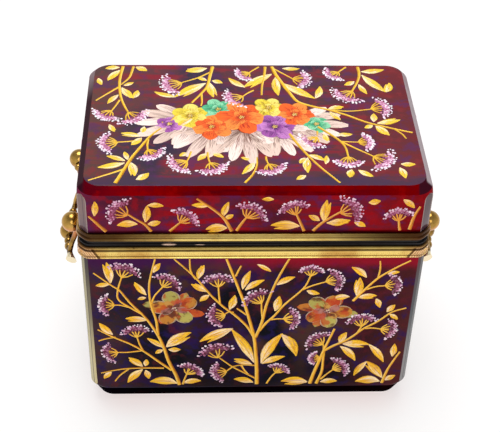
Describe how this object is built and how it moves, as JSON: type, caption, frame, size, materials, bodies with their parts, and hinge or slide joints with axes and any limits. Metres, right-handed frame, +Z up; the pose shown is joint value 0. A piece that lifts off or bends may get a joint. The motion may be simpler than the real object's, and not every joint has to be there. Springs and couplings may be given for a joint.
{
  "type": "glass casket",
  "caption": "Rectangular ruby glass box with enamelled sprays, gilt brass rims, a lid hinged at the back and a drop handle on each side.",
  "frame": {"origin": "middle of the base, on the surface that the casket stands on", "axes": "+Z up, +X along the long side towards the right-hand handle, +Y towards the hinge at the back"},
  "size_m": [0.1734, 0.1009, 0.1247],
  "materials": {
    "ruby_glass": "thick dark ruby glass, polished, cut flat at the corners, enamelled with sprays of leaves and flowers",
    "gilt_brass": "turned, rolled and cast brass, gilt, polished, a little worn",
    "dark_brass": "sheet brass, darkened with age"
  },
  "bodies": {
    "casket": {"body_glass": "ruby_glass", "body_band": "gilt_brass", "body_liner": "dark_brass", "hinge_leaf_body": "gilt_brass", "hinge_pin": "gilt_brass", "post_left_front": "gilt_brass", "post_left_rear": "gilt_brass", "post_right_front": "gilt_brass", "post_right_rear": "gilt_brass"},
    "lid": {"lid_glass": "ruby_glass", "lid_band": "gilt_brass", "lid_liner": "dark_brass", "hinge_leaf_lid": "gilt_brass"},
    "left_handle": {"bail_left": "gilt_brass"},
    "right_handle": {"bail_right": "gilt_brass"}
  },
  "joints": [
    {"name": "lid_hinge", "type": "hinge", "parent": "casket", "child": "lid", "pos_m": [0, 0.0506, 0.09615], "axis": [-1, 0, 0], "range_deg": [0, 100]},
    {"name": "left_bail_swing", "type": "hinge", "parent": "casket", "child": "left_handle", "pos_m": [-0.0779, 0, 0.0873], "axis": [0, 1, 0], "range_deg": [0, 165]},
    {"name": "right_bail_swing", "type": "hinge", "parent": "casket", "child": "right_handle", "pos_m": [0.0779, 0, 0.0873], "axis": [0, -1, 0], "range_deg": [0, 165]}
  ]
}
